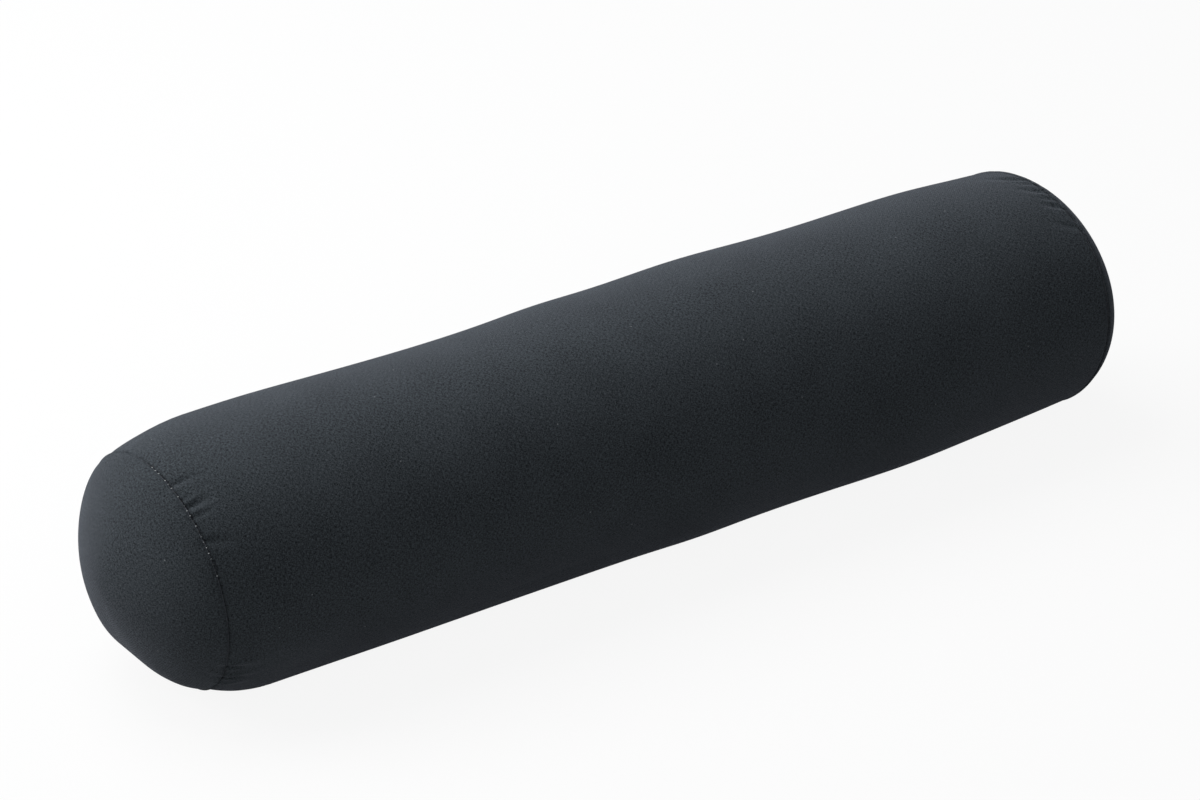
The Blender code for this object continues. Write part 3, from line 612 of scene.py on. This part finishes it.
def stitch_rule():
    """Puts a stitch at every pitch along a line of points, lying as the line's own attribute says."""
    rule = bpy.data.node_groups.new("stitches_along_a_seam", "GeometryNodeTree")
    sockets = rule.interface
    sockets.new_socket("Seam line", in_out="INPUT", socket_type="NodeSocketGeometry")
    for name in ("Pitch", "Length", "Thickness"):
        sockets.new_socket(name, in_out="INPUT", socket_type="NodeSocketFloat")
    sockets.new_socket("Thread", in_out="INPUT", socket_type="NodeSocketMaterial")
    sockets.new_socket("Stitches", in_out="OUTPUT", socket_type="NodeSocketGeometry")
    given = node(rule, "NodeGroupInput").outputs
    thickness = given["Thickness"]
    line = node(rule, "GeometryNodeMeshToCurve", {"Mesh": given["Seam line"]})
    places = node(rule, "GeometryNodeResampleCurve", {
        "Curve": line, "Length": given["Pitch"],
    }, mode="LENGTH")
    bead = node(rule, "GeometryNodeMeshUVSphere", {"Segments": 8, "Rings": 6, "Radius": 0.5})
    size = node(rule, "ShaderNodeCombineXYZ", {0: given["Length"], 1: thickness, 2: thickness})
    stitch = node(rule, "GeometryNodeTransform", {"Geometry": bead.outputs["Mesh"], "Scale": size})
    lie = node(rule, "GeometryNodeInputNamedAttribute", {"Name": "lie"}, data_type="FLOAT_VECTOR")
    turned = node(rule, "FunctionNodeAlignRotationToVector", {"Vector": lie.outputs["Attribute"]}, axis="X")
    row = node(rule, "GeometryNodeInstanceOnPoints", {
        "Points": places, "Instance": stitch, "Rotation": turned,
    })
    real = node(rule, "GeometryNodeRealizeInstances", {"Geometry": row})
    smooth = node(rule, "GeometryNodeSetShadeSmooth", {"Geometry": real})
    dyed = node(rule, "GeometryNodeSetMaterial", {"Geometry": smooth, "Material": given["Thread"]})
    node(rule, "NodeGroupOutput", {"Stitches": dyed})
    return rule


stitches_along = stitch_rule()


def sewn(name, lines, thread, length):
    """One row of stitches along each line. A line is its points and the way that its stitches lie."""
    edges, first = [], 0
    for points, _ in lines:
        edges += [(first + i, first + i + 1) for i in range(len(points) - 1)]
        first += len(points)
    mesh = bpy.data.meshes.new(name)
    mesh.from_pydata(np.concatenate([points for points, _ in lines]).tolist(), edges, [])
    lie = mesh.attributes.new("lie", "FLOAT_VECTOR", "POINT")
    lie.data.foreach_set("vector", np.concatenate([way for _, way in lines]).astype(np.float32).ravel())
    row = placed(name, mesh)
    rule = row.modifiers.new("stitches", "NODES")
    rule.node_group = stitches_along
    given = {"Pitch": STITCH_PITCH, "Length": length, "Thickness": THREAD_THICKNESS, "Thread": thread}
    for socket in stitches_along.interface.items_tree:
        if socket.in_out == "INPUT" and socket.name in given:
            rule[socket.identifier] = given[socket.name]
    graph = bpy.context.evaluated_depsgraph_get()
    made = bpy.data.meshes.new_from_object(row.evaluated_get(graph))
    row.modifiers.clear()
    row.data = made
    made.name = name
    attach(row, "bolster")


def seam_line(end_name, start, stop, depth):
    """The points along an end seam between two places round the cloth, and the way across it."""
    end = ENDS[end_name]
    s = np.linspace(start, stop, int((stop - start) / 0.001))
    x = np.full_like(s, end["side"] * (HALF + end["roll"] / 2))
    radius = np.full_like(s, end["seam"])
    at_seam = body(x, s, radius, depth)
    beside = body(x + end["side"] * 0.001, s, radius, depth)
    return at_seam, beside - at_seam


def hem_line(x, s, depth):
    """The points of a line on the side panel, and the way along it."""
    line = body(x, s, side_radius(x), depth)
    return line, np.gradient(line, axis=0)


seam_start, seam_stop = 0.002, GIRTH - 0.002
upper_left = seam_line("left", seam_start, LIT_SEAM_START, DEEP)
# High on the left seam the light falls on the stitches, which sit proud and carry a painted highlight.
painted_highlight_left = seam_line("left", LIT_SEAM_START, LIT_SEAM_STOP, PROUD)
lower_left = seam_line("left", LIT_SEAM_STOP, seam_stop, DEEP)
whole_right = seam_line("right", seam_start, seam_stop, DEEP)
sewn("end_seam_stitches_left", [upper_left, lower_left], plain_thread, DOT_LENGTH)
sewn("end_seam_stitches_left_painted_highlight", [painted_highlight_left], painted_highlight_thread, DOT_LENGTH)
sewn("end_seam_stitches_right", [whole_right], plain_thread, DOT_LENGTH)

x = np.linspace(-TACK, TACK, 240)
away = slot_half(x) + STITCH_IN
lines = [hem_line(x, away, PROUD), hem_line(x, GIRTH - away, PROUD)]
for bar in (-TACK, TACK):
    s = np.linspace(-STITCH_IN, STITCH_IN, 24)
    x = np.full_like(s, bar)
    lines.append(hem_line(x, s % GIRTH, np.where(np.abs(s) < 0.001, BAR_OVER_SLOT, ON_BAR)))
sewn("zip_topstitching", lines, plain_thread, TOPSTITCH_LENGTH)


# The zip's tapes: two black polyester tapes, woven in a fine herringbone, that run from the teeth to under
# the hems, where they are sewn in. Past the stops they are drawn together, so that the slot shows no bag at
# its two ends.
TAPE_THICKNESS, TAPE_WIDTH, TAPE_PAST_ZIP, ROW_HALF = 0.0005, 0.0136, 0.012, 0.0026
MEET_START, MEET_RUN = 0.0003, 0.0019
RIPPLE, RIPPLE_RUN, RIPPLE_FROM, RIPPLE_FADE = 0.00008, 0.0095, 0.006, 0.004
THREADS_APART, ZIGZAG_LENGTH = 0.0009, 0.0011

# The herringbone's threads run along the tape 0.9 mm apart and zigzag every 1.1 mm, which gives the eye
# faint broken ribs with a dull sheen. They are drawn coarser than real ones, which would be lost in the
# render.
tape_weave, tree, out = finish_named("black_herringbone_polyester_tape")
split = node(tree, "ShaderNodeSeparateXYZ", {0: node(tree, "ShaderNodeUVMap", uv_map="cloth")})
turns = node(tree, "ShaderNodeMath", {0: split.outputs[1], 1: math.pi / ZIGZAG_LENGTH}, operation="MULTIPLY")
zigzag = node(tree, "ShaderNodeMath", {0: turns, 1: math.pi / 2}, operation="PINGPONG")
ribs = node(tree, "ShaderNodeMath", {
    0: split.outputs[0], 1: 2 * math.pi / THREADS_APART,
}, operation="MULTIPLY")
broken = node(tree, "ShaderNodeMath", {0: ribs, 1: zigzag}, operation="ADD")
wave = node(tree, "ShaderNodeMath", {0: broken}, operation="SINE")
bump = node(tree, "ShaderNodeBump", {"Height": wave, "Strength": 0.6, "Distance": 0.0001})
shader = node(tree, "ShaderNodeBsdfPrincipled", {
    "Base Color": linear("#26282b"), "Roughness": 0.75, "Normal": bump, "Sheen Weight": 0.15,
})
tree.links.new(shader.outputs[0], out.inputs["Surface"])

for name, hem_side in (("upper", 1), ("lower", -1)):
    run = np.linspace(-ZIP_HALF, ZIP_HALF, 140)
    past = np.linspace(ZIP_HALF + 0.0005, ZIP_HALF + TAPE_PAST_ZIP, 20)
    x = np.concatenate([-past[::-1], run, past])[:, None]
    across = np.linspace(0, TAPE_WIDTH, 12)[None]
    meeting = eased((np.abs(x) - ZIP_HALF - MEET_START) / MEET_RUN)
    out_by = ROW_HALF + GAP + (SHUT / 2 - ROW_HALF - GAP) * meeting + across
    grid_x, s = np.broadcast_arrays(x, (hem_side * out_by) % GIRTH)
    ripple = RIPPLE * np.sin(grid_x / RIPPLE_RUN) * np.clip((out_by - RIPPLE_FROM) / RIPPLE_FADE, 0, 1)
    points = body(grid_x, s, np.full(s.shape, ROUND), 2 * FOLD + 2 * GAP + ripple)
    flat = np.stack([np.broadcast_to(across, s.shape), grid_x], axis=-1)
    piece_name = "zip_tape_" + name + "_woven"
    tape = cloth_piece(piece_name, points, flat, tape_weave, TAPE_THICKNESS, flip=hem_side < 0)
    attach(tape, "bolster")
    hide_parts("zip_tape_" + name)


# The zip's hard parts: teeth moulded in black acetal on each tape's cord, and stops, slider and pull tab of
# zinc, die-cast and lacquered black. Each keeps its solid's shape, with the edges rounded as a mould leaves
# them.
TEETH_EDGE, TOP_STOP_EDGE, BOTTOM_STOP_EDGE = 0.00014, 0.00025, 0.00035
SLIDER_EDGE, TAB_EDGE = 0.00022, 0.00018
ACETAL_GRAIN, LACQUER_GRAIN = 1 / 900, 1 / 500


def hard_finish(name, code, grain, detail, relief, roughness, gloss):
    """A hard skin. Its grain, of a width in metres, varies its roughness and its relief."""
    made, tree, out = finish_named(name)
    place = node(tree, "ShaderNodeTexCoord").outputs["Object"]
    grained = node(tree, "ShaderNodeTexNoise", {"Vector": place, "Scale": 1 / grain, "Detail": detail})
    bump = node(tree, "ShaderNodeBump", {"Height": grained, "Strength": relief, "Distance": 0.0001})
    low, high = roughness
    rough = node(tree, "ShaderNodeMapRange", {"Value": grained, "To Min": low, "To Max": high})
    shader = node(tree, "ShaderNodeBsdfPrincipled", {
        "Base Color": linear(code), "Roughness": rough, "Normal": bump, **gloss,
    })
    tree.links.new(shader.outputs[0], out.inputs["Surface"])
    return made


# Acetal comes from its mould with a dull, waxy shine, in a grain of 1.1 mm. The lacquer on cast zinc gives
# it a glossier skin over dark metal, uneven in patches of 2 mm.
moulded = hard_finish("black_moulded_acetal", "#222326", ACETAL_GRAIN, 2.0, 0.15, (0.30, 0.46), {
    "IOR": 1.48,
})
lacquered = hard_finish("black_lacquered_zinc", "#2b2d30", LACQUER_GRAIN, 4.0, 0.2, (0.18, 0.40), {
    "Metallic": 0.6, "Coat Weight": 0.5, "Coat Roughness": 0.15,
})


def rounded(cad_node, name, body_name, finish, edge):
    """A copy of a solid with its flat faces made whole again and its edges rounded."""
    mesh = bpy.data.meshes.new(name)
    form = bmesh.new()
    form.from_mesh(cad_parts[cad_node].data)
    bmesh.ops.remove_doubles(form, verts=form.verts, dist=1e-6)
    bmesh.ops.dissolve_limit(form, angle_limit=math.radians(1), verts=form.verts, edges=form.edges)
    form.to_mesh(mesh)
    form.free()
    mesh.shade_smooth()
    mesh.materials.clear()
    mesh.materials.append(finish)
    piece = placed(name, mesh)
    soften = piece.modifiers.new("mould_edges", "BEVEL")
    soften.width, soften.segments, soften.limit_method = edge, 2, "ANGLE"
    soften.angle_limit = math.radians(35)
    soften.use_clamp_overlap = True
    flat_faces = piece.modifiers.new("flat_faces_stay_flat", "WEIGHTED_NORMAL")
    flat_faces.weight = 100
    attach(piece, body_name)
    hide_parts(cad_node)


for row in ("upper", "lower"):
    teeth, stop = "zip_teeth_" + row, "zip_top_stop_" + row
    rounded(teeth, teeth + "_moulded", "bolster", moulded, TEETH_EDGE)
    rounded(stop, stop + "_cast", "bolster", lacquered, TOP_STOP_EDGE)
rounded("zip_bottom_stop", "zip_bottom_stop_cast", "bolster", lacquered, BOTTOM_STOP_EDGE)
rounded("zip_slider_body", "zip_slider_cast", "slider", lacquered, SLIDER_EDGE)
rounded("zip_pull_tab", "zip_pull_tab_cast", "pull_tab", lacquered, TAB_EDGE)


# The inner bag: three panels of unbleached calico, closed by sewing, that hold the filling when the cover is
# washed. The calico is a pale, matt plain weave, finer than the cover's and without its lint. Its threads
# are drawn 0.7 mm apart, coarser than real ones, and the hulls press faint waves into it, 30 mm long.
CALICO_PITCH = 0.0007
CALICO_RIPPLE, CALICO_WAVES, CROSS_WAVES = 0.00012, 210.0, 0.8
calico = woven_cotton("unbleached_calico_plain_weave", "#cfc6b1", CALICO_PITCH, 0.10, 0.0)


def inner(cad_node, name, finish, ripple, waves):
    """A soft solid divided finely and rippled inwards by waves, in radians a metre, with a flat measure of
    its cloth as its UV map."""
    mesh = bpy.data.meshes.new(name)
    form = bmesh.new()
    form.from_mesh(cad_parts[cad_node].data)
    bmesh.ops.remove_doubles(form, verts=form.verts, dist=1e-6)
    bmesh.ops.subdivide_edges(form, edges=form.edges, cuts=1, use_grid_fill=True)
    form.normal_update()
    bmesh.ops.recalc_face_normals(form, faces=form.faces)
    for vert in form.verts:
        lengthwise = math.sin(vert.co.x * waves)
        crosswise = math.sin((vert.co.y - vert.co.z) * waves * CROSS_WAVES)
        depth = 0.5 + 0.5 * lengthwise * crosswise
        vert.co -= vert.normal * ripple * depth
    layer = form.loops.layers.uv.new("cloth")
    for face in form.faces:
        face.smooth = True
        for loop in face.loops:
            at = loop.vert.co
            loop[layer].uv = (math.atan2(at.z - AXIS_HEIGHT, at.y) * ROUND, at.x)
    form.to_mesh(mesh)
    form.free()
    mesh.set_sharp_from_angle(angle=math.radians(45))
    mesh.materials.clear()
    mesh.materials.append(finish)
    piece = placed(name, mesh)
    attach(piece, "bolster")
    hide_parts(cad_node)
    return piece


def calico_panel(cad_node, name):
    """One panel of the bag."""
    return inner(cad_node, name, calico, CALICO_RIPPLE, CALICO_WAVES)


bag_side = calico_panel("inner_bag_side_panel", "inner_bag_side_calico")
for name, end in ENDS.items():
    bag_end = calico_panel("inner_bag_end_" + name, "inner_bag_end_calico_" + name)
    across = 2 * (end["seam"] + BULGE_ADDS)


# The filling: loose buckwheat hulls that take the bag's shape. The brown husks, 3.8 mm across, are painted
# light at their raised middles and painted with shade in the gaps between them, and the mass of them lies in
# dents 9 mm apart.
HULL_ACROSS = 1 / 260
HULL_RIPPLE, HULL_WAVES = 0.0006, 700.0
hulls, tree, out = finish_named("buckwheat_hulls")
place = node(tree, "ShaderNodeTexCoord").outputs["Object"]
husk = node(tree, "ShaderNodeTexVoronoi", {"Vector": place, "Scale": 1 / HULL_ACROSS}).outputs["Distance"]
# Painted shade: the husks' brown darkens towards the gaps between them and lightens on their raised middles.
tint = node(tree, "ShaderNodeMapRange", {"Value": husk, "To Min": 1.4, "To Max": 0.5})
brown_with_painted_shade = node(tree, "ShaderNodeVectorMath", {0: linear("#5a4334")[:3], "Scale": tint}, operation="SCALE")
bump = node(tree, "ShaderNodeBump", {"Height": husk, "Strength": 0.8, "Distance": 0.001}, invert=True)
shader = node(tree, "ShaderNodeBsdfPrincipled", {"Base Color": brown_with_painted_shade, "Roughness": 0.6, "Normal": bump})
tree.links.new(shader.outputs[0], out.inputs["Surface"])

filling = inner("filling", "filling_of_hulls", hulls, HULL_RIPPLE, HULL_WAVES)
